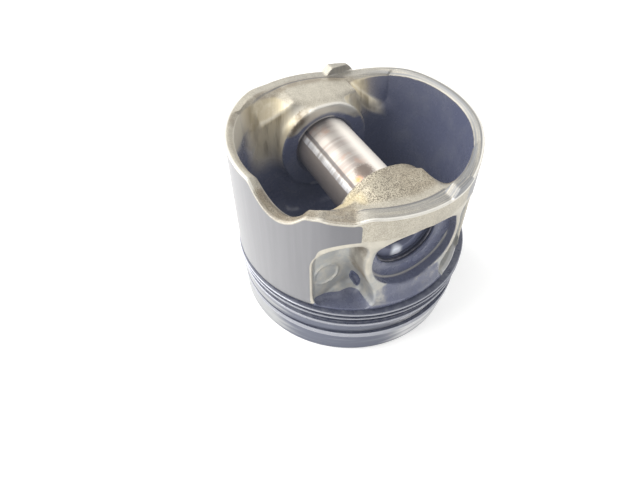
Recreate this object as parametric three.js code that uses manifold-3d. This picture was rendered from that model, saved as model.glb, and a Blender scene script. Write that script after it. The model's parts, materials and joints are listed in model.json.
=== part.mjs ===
// Gudgeon-pin piston for an 80 mm bore, standing on its crown.
// Millimetres. +Z runs from the crown face to the open skirt end, the origin is the centre of the
// crown face, +X runs along the gudgeon pin and +Y is the thrust direction.

import * as THREE from 'three';
import { mergeVertices } from 'three/addons/utils/BufferGeometryUtils.js';
import Module from 'manifold-3d';

const wasm = await Module();
wasm.setup();

// ---------------------------------------------------------------- driving dimensions

const BORE = 80;
const SKIRT_R = BORE / 2 - 0.05;
const LAND_R = BORE / 2 - 0.55;
const CROWN_CHAMFER = 0.7;
const SKIRT_START_Z = 24.2;

const SKIRT_START_RISE = 0.5;
const RIM_CHAMFER = 0.6;

// The open end slopes down towards +Y, is lowest beside the lugs and climbs again to the thrust side.
const RIM_TOP_Z = 66.5;
const RIM_MID_Z = 63.5;
const RIM_SLOPE = 0.085;
const RIM_BACK_STEP = 1.2;
const RIM_BACK_STEP_Y = [12, 24];
const RIM_LOW_Z = 62;
const RIM_LOW_Y = 17;
const RIM_CLIMB = 0.26;
const RIM_CURVE_Y = [-26, 36];

const PIN_Z = 46.5;
const PIN_R = 10.5;
const PIN_BORE_R = 10.56;
const PIN_HOLE_R = 6;
const PIN_HALF_LENGTH = 30.2;
const PIN_CHAMFER = 0.8;
const PIN_HOLE_FLARE = 1.6;
const BORE_CHAMFER = 1.2;
const BORE_MOUTH_CHAMFER = 0.6;

const BOSS_INNER_X = 18;
const BOSS_OUTER_X = 38.5;
const BOSS_FACE_X = 36.7;
const HUB_INNER_R = 16.8;
const HUB_OUTER_R = 17.4;

const HOLLOW_FLOOR_Z = 20;
const HOLLOW_HALF_X = 22.8;

const POCKET_X = 26;
const POCKET_HALF_Y = 29.2;
const POCKET_TOP_Z = 54.6;
const POCKET_TOP_CORNER_R = 12;
const POCKET_BOTTOM_CORNER_R = 2.5;

const RECESS_R = 15.3;
const RECESS_Y = 0.7;
const RECESS_Z = 45.2;
const RECESS_FLOOR_X = 33.4;
const BAND_EDGE_Z = 57;

// Round part of the hollow under the crown, as [radius, z].
const HOLLOW_PROFILE = [
  [0, HOLLOW_FLOOR_Z],
  [24, HOLLOW_FLOOR_Z],
  [29, 21.4],
  [32, 25],
  [33.4, 30],
  [36.2, 52],
  [36.9, 62],
  [37.4, RIM_TOP_Z + 1],
  [0, RIM_TOP_Z + 1],
];

// Flat side of the hollow with the shelf that leads out to the rim, as [x, z].
const HOLLOW_SIDE = [
  [HOLLOW_HALF_X - 2.5, HOLLOW_FLOOR_Z - 1],
  [HOLLOW_HALF_X, 26],
  [HOLLOW_HALF_X, 50],
  [24, 55],
  [28, 59.4],
  [33, 61.2],
  [37.2, RIM_LOW_Z],
  [37.4, RIM_TOP_Z + 1],
];

// End view of the boss above the pin and of the web below it, as [y, z].
const BOSS_TOP_OUTLINE = [
  [-16, PIN_Z],
  [-14, 56],
  [-9, 62.6],
  [-4, 63.5],
  [3, 63.1],
  [10, 62.4],
  [12.5, 60.8],
  [14.5, 55],
  [16, PIN_Z],
];
const WEB_OUTLINE = [
  [-13.5, HOLLOW_FLOOR_Z - 2],
  [13.5, HOLLOW_FLOOR_Z - 2],
  [15.5, PIN_Z],
  [-15.5, PIN_Z],
];

// Plan view of one half of the column that carries the boss's outer end, as [x, y].
const COLUMN_OUTLINE = [
  [POCKET_X - 6, 18.2],
  [POCKET_X, 18.2],
  [POCKET_X + 2.5, 15.2],
  [POCKET_X + 5, 14.2],
  [33.2, 13.8],
  [34.9, 11.4],
  [BOSS_FACE_X, 7],
];

// Notch that clears the oil jet, with the low shoulder after it, as [distance along the rim, z].
const NOTCH_AZIMUTH_DEG = -62.4;
const NOTCH_WALL_DEPTH = 13;
const NOTCH_OUTLINE = [
  [-10.6, RIM_TOP_Z + 4],
  [-9.8, 65.4],
  [-6.6, 61.3],
  [-4.1, 59.1],
  [-2, 58.4],
  [0.4, 58.2],
  [2.6, 58.4],
  [4.3, 58.9],
  [7.5, 61.7],
  [9.3, 63.0],
  [13, 63.5],
  [19, 63.3],
  [21.5, 63.5],
  [24.3, 64.5],
  [27.5, 66],
  [27.5, RIM_TOP_Z + 4],
];

const LUG_INNER_X = 34.6;
const LUG_OUTER_R = SKIRT_R - 0.1;
const LUG_OUTLINE = [
  [8.6, 59],
  [8.6, RIM_LOW_Z],
  [11.6, 65.3],
  [17.8, 65.3],
  [20.8, RIM_LOW_Z],
  [20.8, 59],
];

// Combustion bowl in the crown, as [radius, z].
const BOWL_PROFILE = [
  [0, -1],
  [20.5, -1],
  [20.5, 1.5],
  [22, 5],
  [21.2, 7.6],
  [18, 9],
  [13, 8.4],
  [6, 5.4],
  [0, 4.6],
];
const BOWL_SEGMENTS = 48;

const DRAIN_R = 1.1;
const DRAIN_LENGTH = 8;
const DRAIN_ANGLES_DEG = [60, 80, 100, 120, 240, 260, 280, 300];

const CAST_MARK_CENTRE = [POCKET_X, -23.6, 35.5];
const CAST_MARK_PROFILE = [[2.6, -1], [3.9, -1], [3.7, 0.4], [2.8, 0.4], [2.6, -1]];
const CAST_MARK_SEGMENTS = 24;

const CIRCLIP_WIRE_R = 0.7;
const CIRCLIP_MID_R = 10.6;
const CIRCLIP_X = 31.4;
const CIRCLIP_GROOVE_R = 11.5;
const CIRCLIP_GROOVE_HALF_WIDTH = 0.85;
const CIRCLIP_OPENING_DEG = 56;
const CIRCLIP_STEPS = 28;

const RING_AXIAL_CLEARANCE = 0.1;
// Ring grooves: low and high flank above the crown face, and the radius of the groove's root.
const TOP_GROOVE = { low: 8.6, high: 11.0, root: 35.6 };
const SECOND_GROOVE = { low: 15.3, high: 17.8, root: 35.6 };
const OIL_GROOVE = { low: 20.2, high: 23.4, root: 34.4 };

// Each free ring has sprung open to a little more than the bore and sits off centre in its groove.
const REST_AZIMUTH_DEG = 57.5;
const TOP_RING = { outer: 40.3, inner: 37.1, shift: 0.7, gap: 2.2, gapDeg: 88 };
const SECOND_RING = { outer: 40.6, inner: 37.3, shift: 0.8, gap: 4.2, gapDeg: 205 };
const OIL_RING = { outer: 41.1, inner: 38.5, shift: 0.77, gap: 7.2, gapDeg: 146 };
const COMPRESSION_RING_EDGE = 0.25;

const OIL_LAND_INSET = 0.35;
const OIL_LAND_TIP = 0.45;
const OIL_LAND_ROOT = 0.7;
const OIL_RING_BEVEL = 1;
const OIL_CHANNEL_DEPTH = 0.9;
const OIL_SLOT_COUNT = 20;
const OIL_SLOT_HALF_LENGTH = 2.2;
const OIL_SLOT_HALF_HEIGHT = 0.35;

const COIL_R = 0.85;
const COIL_BORE_R = 0.45;
const COIL_SEAT_R = 1.0;
const COIL_MID_R = 38.2;
const COIL_OPENING_DEG = 3.5;
const COIL_SEAT_HALF_DEG = 72;
const COIL_SEAT_STEPS = 4;
const JOINT_WIRE_R = 0.28;
const JOINT_WIRE_SPAN_DEG = 40;
const JOINT_WIRE_STEPS = 12;

const BODY_SEGMENTS = 72;
const RING_SEGMENTS = 72;
const BORE_SEGMENTS = 40;
const WIRE_SIDES = 6;
const CORNER_SEGMENTS = 5;
const COIL_SEGMENTS = 48;
const RIM_CURVE_STEPS = 16;
const FAR_OUT = 60;
// Cutters for slots in the rings run outwards from this radius and reach this high.
const SLOT_CUTTER_START = 20;
const SLOT_CUTTER_TOP = 40;

const radians = THREE.MathUtils.degToRad;

// ---------------------------------------------------------------- materials

function material(color, roughness, metalness) {
  return new THREE.MeshStandardMaterial({ color, roughness, metalness });
}

const MATERIALS = {
  aluminium: material('#b3b0a8', 0.45, 0.9),
  pinSteel: material('#b5aaa2', 0.2, 1.0),
  springSteel: material('#54545a', 0.35, 1.0),
  oilyIron: material('#2b2c33', 0.3, 1.0),
};

// ---------------------------------------------------------------- solids

// Turns a closed three.js geometry into a manifold solid with its faces pointing out.
function solid(geometry) {
  const bare = geometry.clone();
  bare.deleteAttribute('normal');
  bare.deleteAttribute('uv');
  const merged = mergeVertices(bare, 1e-4);
  const positions = merged.attributes.position.array;
  const triangles = keepRealTriangles(merged.index.array);
  if (signedVolume(positions, triangles) < 0) {
    triangles.reverse();
  }
  return new wasm.Manifold(new wasm.Mesh({
    numProp: 3,
    vertProperties: new Float32Array(positions),
    triVerts: new Uint32Array(triangles),
  }));
}

function keepRealTriangles(index) {
  const kept = [];
  for (let i = 0; i < index.length; i += 3) {
    const [a, b, c] = [index[i], index[i + 1], index[i + 2]];
    if (a !== b && b !== c && c !== a) {
      kept.push(a, b, c);
    }
  }
  return kept;
}

function signedVolume(positions, triangles) {
  const corner = (i) => new THREE.Vector3().fromArray(positions, 3 * i);
  let total = 0;
  for (let i = 0; i < triangles.length; i += 3) {
    const [a, b, c] = [0, 1, 2].map((k) => corner(triangles[i + k]));
    total += a.dot(b.cross(c));
  }
  return total;
}

function toGeometry(manifold) {
  const mesh = manifold.getMesh();
  const geometry = new THREE.BufferGeometry();
  geometry.setAttribute('position', new THREE.BufferAttribute(new Float32Array(mesh.vertProperties), 3));
  geometry.setIndex(new THREE.BufferAttribute(new Uint32Array(mesh.triVerts), 1));
  geometry.computeVertexNormals();
  return geometry;
}

// Solid of revolution about Z. The profile is a list of [radius, z].
function latheZ(profile, segments = BODY_SEGMENTS) {
  const points = profile.map(([r, z]) => new THREE.Vector2(r, z));
  return solid(new THREE.LatheGeometry(points, segments).rotateX(Math.PI / 2));
}

// Solid of revolution about the pin axis. The profile is a list of [radius, x].
function latheX(profile, segments = BORE_SEGMENTS) {
  const points = profile.map(([r, x]) => new THREE.Vector2(r, x));
  return solid(new THREE.LatheGeometry(points, segments).rotateZ(-Math.PI / 2).translate(0, 0, PIN_Z));
}

// Straight round bar along X about the pin axis.
function barX(radius, x0, x1, segments = BORE_SEGMENTS) {
  return latheX([[0, x0], [radius, x0], [radius, x1], [0, x1]], segments);
}

// Upright round bar on the piston's own axis.
function barZ(radius, z0, z1) {
  return latheZ([[0, z0], [radius, z0], [radius, z1], [0, z1]]);
}

// Prism whose outline is drawn in the Y-Z plane and which runs from x0 to x1.
function prismX(shape, x0, x1) {
  const geometry = new THREE.ExtrudeGeometry(shape, extrusion(x1 - x0));
  const intoPlace = new THREE.Matrix4().set(0, 0, 1, x0, 1, 0, 0, 0, 0, 1, 0, 0, 0, 0, 0, 1);
  return solid(geometry.applyMatrix4(intoPlace));
}

// Prism whose outline is drawn in the X-Y plane.
function prismZ(shape, z0, z1) {
  return solid(new THREE.ExtrudeGeometry(shape, extrusion(z1 - z0)).translate(0, 0, z0));
}

// Prism whose outline is drawn in the X-Z plane and which runs across the whole piston.
function prismY(shape) {
  const geometry = new THREE.ExtrudeGeometry(shape, extrusion(2 * FAR_OUT));
  return solid(geometry.rotateX(Math.PI / 2).translate(0, FAR_OUT, 0));
}

function extrusion(depth) {
  return { depth, bevelEnabled: false, curveSegments: CORNER_SEGMENTS };
}

function box(x0, x1, y0, y1, z0, z1) {
  const geometry = new THREE.BoxGeometry(x1 - x0, y1 - y0, z1 - z0);
  return solid(geometry.translate((x0 + x1) / 2, (y0 + y1) / 2, (z0 + z1) / 2));
}

function polygon(points) {
  return new THREE.Shape(points.map(([u, v]) => new THREE.Vector2(u, v)));
}

// The same solid on the other side of the thrust plane.
function onSide(manifold, side) {
  return side > 0 ? manifold : manifold.mirror([1, 0, 0]);
}

// ---------------------------------------------------------------- piston body

function grooveProfile({ low, high, root }) {
  return [[LAND_R, low], [root, low], [root, high], [LAND_R, high]];
}

function outerBlank() {
  return latheZ([
    [0, 0],
    [LAND_R - CROWN_CHAMFER, 0],
    [LAND_R, CROWN_CHAMFER],
    ...grooveProfile(TOP_GROOVE),
    ...grooveProfile(SECOND_GROOVE),
    ...grooveProfile(OIL_GROOVE),
    [LAND_R, SKIRT_START_Z],
    [SKIRT_R, SKIRT_START_Z + SKIRT_START_RISE],
    [SKIRT_R, RIM_TOP_Z - RIM_CHAMFER],
    [SKIRT_R - RIM_CHAMFER, RIM_TOP_Z],
    [0, RIM_TOP_Z],
  ]);
}

// Height of the open end above the crown at a given place along the thrust direction.
function rimHeight(y) {
  const step = RIM_BACK_STEP * THREE.MathUtils.smoothstep(-y, ...RIM_BACK_STEP_Y);
  const slope = RIM_MID_Z - RIM_SLOPE * y + step;
  const climb = RIM_LOW_Z + RIM_CLIMB * (y - RIM_LOW_Y);
  return Math.min(Math.max(slope, climb), RIM_TOP_Z + 0.01);
}

function aboveRim() {
  const [start, end] = RIM_CURVE_Y;
  const curve = [];
  for (let i = 0; i <= RIM_CURVE_STEPS; i += 1) {
    const y = THREE.MathUtils.lerp(start, end, i / RIM_CURVE_STEPS);
    curve.push([y, rimHeight(y)]);
  }
  return prismX(polygon([
    [-FAR_OUT, rimHeight(-FAR_OUT)],
    ...curve,
    [FAR_OUT, rimHeight(FAR_OUT)],
    [FAR_OUT, FAR_OUT + RIM_TOP_Z],
    [-FAR_OUT, FAR_OUT + RIM_TOP_Z],
  ]), -FAR_OUT, FAR_OUT);
}

// The hollow under the crown: round at the thrust sides, flat beside the pin bosses.
function innerHollow() {
  const mirrored = HOLLOW_SIDE.map(([x, z]) => [-x, z]).reverse();
  return latheZ(HOLLOW_PROFILE).intersect(prismY(polygon([...HOLLOW_SIDE, ...mirrored])));
}

// One boss: a hub round the pin, a top that leads out to the rim and a web down to the crown.
function pinBoss() {
  const hub = barX(HUB_INNER_R, BOSS_INNER_X, BOSS_OUTER_X);
  const top = prismX(polygon(BOSS_TOP_OUTLINE), BOSS_INNER_X, BOSS_OUTER_X);
  const web = prismX(polygon(WEB_OUTLINE), BOSS_INNER_X + 1.5, POCKET_X);
  const envelope = barZ(BOSS_OUTER_X, 1, RIM_TOP_Z);
  return hub.add(top).add(web).intersect(envelope);
}

// Outline of the relief in the skirt beside the pin boss, drawn in the Y-Z plane.
function pocketOutline() {
  const y = POCKET_HALF_Y;
  const floor = SKIRT_START_Z;
  const low = POCKET_BOTTOM_CORNER_R;
  const high = POCKET_TOP_CORNER_R;
  const shape = new THREE.Shape();
  shape.moveTo(-y + low, floor);
  shape.lineTo(y - low, floor);
  shape.absarc(y - low, floor + low, low, -Math.PI / 2, 0, false);
  shape.lineTo(y, POCKET_TOP_Z - high);
  shape.absarc(y - high, POCKET_TOP_Z - high, high, 0, Math.PI / 2, false);
  shape.lineTo(-y + high, POCKET_TOP_Z);
  shape.absarc(-y + high, POCKET_TOP_Z - high, high, Math.PI / 2, Math.PI, false);
  shape.lineTo(-y, floor + low);
  shape.absarc(-y + low, floor + low, low, Math.PI, 1.5 * Math.PI, false);
  return shape;
}

// The relief leaves the outer end of the boss standing, with its column down to the ring belt.
function sidePocket() {
  const relief = prismX(pocketOutline(), POCKET_X, FAR_OUT);
  const hub = ontoRecessAxis(barX(HUB_OUTER_R, POCKET_X - 6, BOSS_FACE_X));
  const mirrored = COLUMN_OUTLINE.map(([x, y]) => [x, -y]);
  const outline = [...mirrored, ...[...COLUMN_OUTLINE].reverse()];
  const column = prismZ(polygon(outline), SKIRT_START_Z - 1, PIN_Z);
  return relief.subtract(hub.add(column));
}

// Round recess in the boss face, cut off at the top by the band that closes the skirt.
function bossRecess() {
  const bar = ontoRecessAxis(barX(RECESS_R, RECESS_FLOOR_X, FAR_OUT));
  return bar.intersect(box(0, FAR_OUT, -FAR_OUT, FAR_OUT, 0, BAND_EDGE_Z));
}

// Moves a solid from the pin axis to the slightly lower axis of the boss's outer end.
function ontoRecessAxis(manifold) {
  return manifold.translate([0, RECESS_Y, RECESS_Z - PIN_Z]);
}

function halfPinBore() {
  const inner = BOSS_INNER_X;
  const grooveStart = CIRCLIP_X - CIRCLIP_GROOVE_HALF_WIDTH;
  const grooveEnd = CIRCLIP_X + CIRCLIP_GROOVE_HALF_WIDTH;
  return latheX([
    [0, -1],
    [PIN_BORE_R + BORE_CHAMFER, -1],
    [PIN_BORE_R + BORE_CHAMFER, inner],
    [PIN_BORE_R, inner + BORE_CHAMFER],
    [PIN_BORE_R, grooveStart],
    [CIRCLIP_GROOVE_R, grooveStart],
    [CIRCLIP_GROOVE_R, grooveEnd],
    [PIN_BORE_R, grooveEnd],
    [PIN_BORE_R, RECESS_FLOOR_X - BORE_MOUTH_CHAMFER],
    [PIN_BORE_R + BORE_MOUTH_CHAMFER, RECESS_FLOOR_X],
    [PIN_BORE_R, RECESS_FLOOR_X],
    [PIN_BORE_R, FAR_OUT],
    [0, FAR_OUT],
  ]);
}

function oilJetNotch() {
  const wall = prismX(polygon(NOTCH_OUTLINE), SKIRT_R - NOTCH_WALL_DEPTH, FAR_OUT);
  return wall.rotate([0, 0, NOTCH_AZIMUTH_DEG]);
}

// Raised lug on the rim beside each boss.
function rimLug() {
  return prismX(polygon(LUG_OUTLINE), LUG_INNER_X, FAR_OUT).intersect(barZ(LUG_OUTER_R, 50, 70));
}

function drainHoles() {
  const z = (OIL_GROOVE.low + OIL_GROOVE.high) / 2;
  return DRAIN_ANGLES_DEG.map((degrees) => {
    const hole = new THREE.CylinderGeometry(DRAIN_R, DRAIN_R, DRAIN_LENGTH, WIRE_SIDES);
    hole.rotateZ(Math.PI / 2).translate(OIL_GROOVE.root - 2, 0, z);
    return solid(hole.rotateZ(radians(degrees)));
  });
}

// Plain raised ring cast on the relief wall.
function castMark() {
  const [x, y, z] = CAST_MARK_CENTRE;
  return latheX(CAST_MARK_PROFILE, CAST_MARK_SEGMENTS).translate([x, y, z - PIN_Z]);
}

function pistonBody() {
  let body = outerBlank().subtract(aboveRim()).subtract(innerHollow());
  for (const side of [1, -1]) {
    body = body
      .add(onSide(pinBoss(), side))
      .subtract(onSide(sidePocket(), side))
      .subtract(onSide(bossRecess(), side))
      .add(onSide(rimLug(), side));
  }
  for (const side of [1, -1]) {
    body = body.subtract(onSide(halfPinBore(), side));
  }
  body = body.subtract(oilJetNotch()).subtract(latheZ(BOWL_PROFILE, BOWL_SEGMENTS)).add(castMark());
  for (const hole of drainHoles()) {
    body = body.subtract(hole);
  }
  return toGeometry(body);
}

// ---------------------------------------------------------------- gudgeon pin and circlips

function gudgeonPin() {
  const end = PIN_HALF_LENGTH;
  const chamfer = PIN_CHAMFER;
  const flare = PIN_HOLE_FLARE;
  return toGeometry(latheX([
    [PIN_HOLE_R, -end + flare],
    [PIN_HOLE_R + flare, -end],
    [PIN_R - chamfer, -end],
    [PIN_R, -end + chamfer],
    [PIN_R, end - chamfer],
    [PIN_R - chamfer, end],
    [PIN_HOLE_R + flare, end],
    [PIN_HOLE_R, end - flare],
    [PIN_HOLE_R, -end + flare],
  ]));
}

// A round wire bent in the Y-Z plane, open at the top.
function circlip() {
  const half = radians(CIRCLIP_OPENING_DEG / 2);
  const path = new ArcPath(CIRCLIP_MID_R, Math.PI / 2 + half, 2.5 * Math.PI - half);
  return toGeometry(wireAlong(path, CIRCLIP_WIRE_R, CIRCLIP_STEPS));
}

// Arc in the X-Y plane, centred on the origin.
class ArcPath extends THREE.Curve {
  constructor(radius, start, end) {
    super();
    this.radius = radius;
    this.start = start;
    this.end = end;
  }

  getPoint(t, target = new THREE.Vector3()) {
    const angle = THREE.MathUtils.lerp(this.start, this.end, t);
    return target.set(this.radius * Math.cos(angle), this.radius * Math.sin(angle), 0);
  }
}

function wireAlong(path, radius, steps) {
  const section = new THREE.Shape();
  for (let i = 0; i < WIRE_SIDES; i += 1) {
    const angle = ((i + 0.5) / WIRE_SIDES) * 2 * Math.PI;
    const place = [radius * Math.cos(angle), radius * Math.sin(angle)];
    if (i === 0) {
      section.moveTo(...place);
    } else {
      section.lineTo(...place);
    }
  }
  section.closePath();
  return solid(new THREE.ExtrudeGeometry(section, { steps, extrudePath: path, bevelEnabled: false }));
}

// ---------------------------------------------------------------- piston rings

// Height range of the ring that fills a groove.
function ringHeights(groove) {
  return [groove.low + RING_AXIAL_CLEARANCE, groove.high - RING_AXIAL_CLEARANCE];
}

// Upright slab that runs outwards at the given angle.
function slotCutter(width, degrees) {
  const slab = box(SLOT_CUTTER_START, FAR_OUT, -width / 2, width / 2, 0, SLOT_CUTTER_TOP);
  return slab.rotate([0, 0, degrees]);
}

function withEndGap(ring, { gap, gapDeg }) {
  return ring.subtract(slotCutter(gap, gapDeg));
}

function compressionRing(groove, ring) {
  const [low, high] = ringHeights(groove);
  const edge = COMPRESSION_RING_EDGE;
  return toGeometry(withEndGap(latheZ([
    [ring.inner, low],
    [ring.outer - edge, low],
    [ring.outer, low + edge],
    [ring.outer, high - edge],
    [ring.outer - edge, high],
    [ring.inner, high],
    [ring.inner, low],
  ], RING_SEGMENTS), ring));
}

// Two scraping lands with a slotted channel between them, and a round seat for the coil behind.
function oilRing() {
  const [low, high] = ringHeights(OIL_GROOVE);
  const { outer, inner } = OIL_RING;
  const middle = (low + high) / 2;
  const tip = OIL_LAND_INSET + OIL_LAND_TIP;
  const root = OIL_LAND_INSET + OIL_LAND_ROOT;
  const seat = [];
  for (let i = 0; i <= COIL_SEAT_STEPS; i += 1) {
    const turn = THREE.MathUtils.lerp(-COIL_SEAT_HALF_DEG, COIL_SEAT_HALF_DEG, i / COIL_SEAT_STEPS);
    const angle = radians(turn);
    seat.push([COIL_MID_R + COIL_SEAT_R * Math.cos(angle), middle - COIL_SEAT_R * Math.sin(angle)]);
  }
  let ring = latheZ([
    [inner, low],
    [outer - OIL_RING_BEVEL, low],
    [outer, low + OIL_LAND_INSET],
    [outer, low + tip],
    [outer - OIL_CHANNEL_DEPTH, low + root],
    [outer - OIL_CHANNEL_DEPTH, high - root],
    [outer, high - tip],
    [outer, high - OIL_LAND_INSET],
    [outer - OIL_RING_BEVEL, high],
    [inner, high],
    ...seat,
    [inner, low],
  ], RING_SEGMENTS);
  const pitch = 360 / OIL_SLOT_COUNT;
  for (let i = 0; i < OIL_SLOT_COUNT; i += 1) {
    const length = OIL_SLOT_HALF_LENGTH;
    const height = OIL_SLOT_HALF_HEIGHT;
    const slot = box(inner - 1, outer + 1, -length, length, middle - height, middle + height);
    ring = ring.subtract(slot.rotate([0, 0, OIL_RING.gapDeg + pitch * (i + 0.5)]));
  }
  return toGeometry(withEndGap(ring, OIL_RING));
}

function roundProfile(middleR, z, radius, sides) {
  const points = [];
  for (let i = 0; i <= sides; i += 1) {
    const angle = (i / sides) * 2 * Math.PI;
    points.push([middleR + radius * Math.cos(angle), z + radius * Math.sin(angle)]);
  }
  points[sides] = [...points[0]];
  return points;
}

// The coil spring as a plain hollow ring of its outside size, open where its ends meet.
function coilSpring() {
  const z = (OIL_GROOVE.low + OIL_GROOVE.high) / 2;
  const outside = latheZ(roundProfile(COIL_MID_R, z, COIL_R, WIRE_SIDES), COIL_SEGMENTS);
  const bore = latheZ(roundProfile(COIL_MID_R, z, COIL_BORE_R, WIRE_SIDES), COIL_SEGMENTS);
  const width = 2 * COIL_MID_R * Math.tan(radians(COIL_OPENING_DEG / 2));
  const opening = slotCutter(width, OIL_RING.gapDeg + 180);
  return toGeometry(outside.subtract(bore).subtract(opening));
}

// Short wire that sits inside the coil's ends and joins them.
function jointWire() {
  const middle = radians(OIL_RING.gapDeg + 180);
  const half = radians(JOINT_WIRE_SPAN_DEG / 2);
  const path = new ArcPath(COIL_MID_R, middle - half, middle + half);
  const z = (OIL_GROOVE.low + OIL_GROOVE.high) / 2;
  return toGeometry(wireAlong(path, JOINT_WIRE_R, JOINT_WIRE_STEPS).translate([0, 0, z]));
}

// ---------------------------------------------------------------- assembly

function part(name, geometry, look) {
  const mesh = new THREE.Mesh(geometry, look);
  mesh.name = name;
  return mesh;
}

// Group at a ring's own centre, pushed sideways in its groove.
function offCentre(shift, meshes) {
  const holder = new THREE.Group();
  const angle = radians(REST_AZIMUTH_DEG);
  holder.position.set(shift * Math.cos(angle), shift * Math.sin(angle), 0);
  holder.add(...meshes);
  return holder;
}

function placedCirclip(name, side) {
  const mesh = part(name, circlip(), MATERIALS.springSteel);
  mesh.position.set(side * CIRCLIP_X, 0, PIN_Z);
  mesh.rotation.set(Math.PI / 2, Math.PI / 2, 0);
  return mesh;
}

const piston = new THREE.Group();
piston.name = 'piston';
piston.add(part('piston_body', pistonBody(), MATERIALS.aluminium));
piston.add(part('gudgeon_pin', gudgeonPin(), MATERIALS.pinSteel));
piston.add(placedCirclip('front_circlip', 1));
piston.add(placedCirclip('rear_circlip', -1));
piston.add(offCentre(TOP_RING.shift, [
  part('top_compression_ring', compressionRing(TOP_GROOVE, TOP_RING), MATERIALS.oilyIron),
]));
piston.add(offCentre(SECOND_RING.shift, [
  part('second_compression_ring', compressionRing(SECOND_GROOVE, SECOND_RING), MATERIALS.oilyIron),
]));
piston.add(offCentre(OIL_RING.shift, [
  part('oil_control_ring', oilRing(), MATERIALS.oilyIron),
  part('oil_ring_coil_spring', coilSpring(), MATERIALS.springSteel),
  part('oil_ring_joint_wire', jointWire(), MATERIALS.springSteel),
]));

export default piston;
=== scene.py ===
"""Looks of the piston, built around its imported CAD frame.

Shapes are worked out in millimetres in the frame's own axes and scaled to metres when a mesh is made.
The body is a distance field turned into a mesh by dual contouring; the pin, clips and rings are swept.
"""

import json
import math

import bmesh
import bpy
import numpy as np
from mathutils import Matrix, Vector


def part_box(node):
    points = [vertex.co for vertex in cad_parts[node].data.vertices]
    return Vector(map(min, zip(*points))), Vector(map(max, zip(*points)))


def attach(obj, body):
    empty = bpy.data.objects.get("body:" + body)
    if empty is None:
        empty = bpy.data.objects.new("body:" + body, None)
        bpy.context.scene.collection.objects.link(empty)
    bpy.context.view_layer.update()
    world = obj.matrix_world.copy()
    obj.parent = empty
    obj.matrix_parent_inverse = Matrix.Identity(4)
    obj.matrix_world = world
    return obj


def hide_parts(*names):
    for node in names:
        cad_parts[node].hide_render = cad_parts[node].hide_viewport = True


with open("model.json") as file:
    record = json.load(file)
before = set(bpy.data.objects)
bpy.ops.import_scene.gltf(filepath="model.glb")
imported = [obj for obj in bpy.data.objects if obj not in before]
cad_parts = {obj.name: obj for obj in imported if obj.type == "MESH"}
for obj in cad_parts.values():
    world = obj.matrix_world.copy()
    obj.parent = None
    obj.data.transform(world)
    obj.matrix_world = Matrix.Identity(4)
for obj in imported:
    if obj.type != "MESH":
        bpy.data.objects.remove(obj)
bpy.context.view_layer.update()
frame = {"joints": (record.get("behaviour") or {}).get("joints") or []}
MM = 0.001


# ---------------------------------------------------------------- sizes

def box_mm(node):
    """Lowest and highest corner of a CAD node, in millimetres."""
    low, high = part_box(node)
    return np.array(low) / MM, np.array(high) / MM


BODY_LOW, BODY_HIGH = box_mm("piston_body")
PIN_LOW, PIN_HIGH = box_mm("gudgeon_pin")

SKIRT_R = float(BODY_HIGH[1])
LAND_R = SKIRT_R - 0.5
SKIRT_START_Z = 24.2
RIM_HIGH_Z = float(BODY_HIGH[2])
RIM_LOW_Z = RIM_HIGH_Z - 3.6
RIM_MID_Z = RIM_HIGH_Z - 3.0
RIM_TILT = 0.085
LUG_Y = 14.7

PIN_Z = float(PIN_LOW[2] + PIN_HIGH[2]) / 2
PIN_R = float(PIN_HIGH[2] - PIN_LOW[2]) / 2
PIN_HALF = float(PIN_HIGH[0])
PIN_HOLE_R = 6.0
BORE_R = PIN_R + 0.05

GROOVES = ((8.6, 11.0, 35.6), (15.3, 17.8, 35.6), (20.2, 23.4, 34.4))

BOSS_INNER_X = 18.0
BOSS_FACE_X = 36.7
HUB_INNER_R = 16.8
HUB_OUTER_R = 17.4
PLATEAU_Z = RIM_LOW_Z - 0.5
SEAM_R = 35.3

HOLLOW_FLOOR_Z = 20.0
HOLLOW_HALF_X = 22.8
POCKET_X = 26.0
POCKET_HALF_Y = 28.7
POCKET_TOP_Z = 53.9
RECESS_R = 15.0
RECESS_Y = 1.0
RECESS_Z = PIN_Z - 1.3
RECESS_FLOOR_X = 33.4
BAND_EDGE_Z = PIN_Z + 10.0
BAND_END_DEG = 26.8
PIT = ((27.0, -14.6, 32.0), (28.3, -13.2, 26.9), 0.3, 1.0)

CLIP_X = 31.4
CLIP_GROOVE_R = 11.5
CLIP_GROOVE_HALF = 0.85


# ---------------------------------------------------------------- distance helpers

def smooth_step(low, high, value):
    t = np.clip((value - low) / (high - low), 0, 1)
    return t * t * (3 - 2 * t)


def join(a, b, radius):
    """Union of two solids with a round fillet between them."""
    corner = np.hypot(np.maximum(radius - a, 0), np.maximum(radius - b, 0))
    return np.maximum(radius, np.minimum(a, b)) - corner


def meet(a, b, radius):
    """Intersection of two solids with a rounded edge."""
    return -join(-a, -b, radius)


def cut(a, b, radius):
    """Solid a with b taken away, the new edge rounded."""
    return meet(a, -b, radius)


def soft_min(a, b, width):
    h = np.clip(0.5 + 0.5 * (b - a) / width, 0, 1)
    return b + (a - b) * h - width * h * (1 - h)


def rounded_box(u, v, half_u, half_v, radius):
    qu = np.abs(u) - half_u + radius
    qv = np.abs(v) - half_v + radius
    outside = np.hypot(np.maximum(qu, 0), np.maximum(qv, 0))
    return np.minimum(np.maximum(qu, qv), 0) + outside - radius


# ---------------------------------------------------------------- piston body as a distance field

NOTCH_DEG = -62.2
NOTCH_Z = 58.2
NOTCH_CURVE = 0.0325
SHOULDER_Z = 63.3
SHOULDER_BUMP_DEG = -43.6
SHOULDER_END_DEG = -30.0


def rim_plane(y):
    """Height of the sloping end face across the bosses."""
    return RIM_MID_Z - RIM_TILT * y + 1.2 * smooth_step(12, 24, -y)


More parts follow.
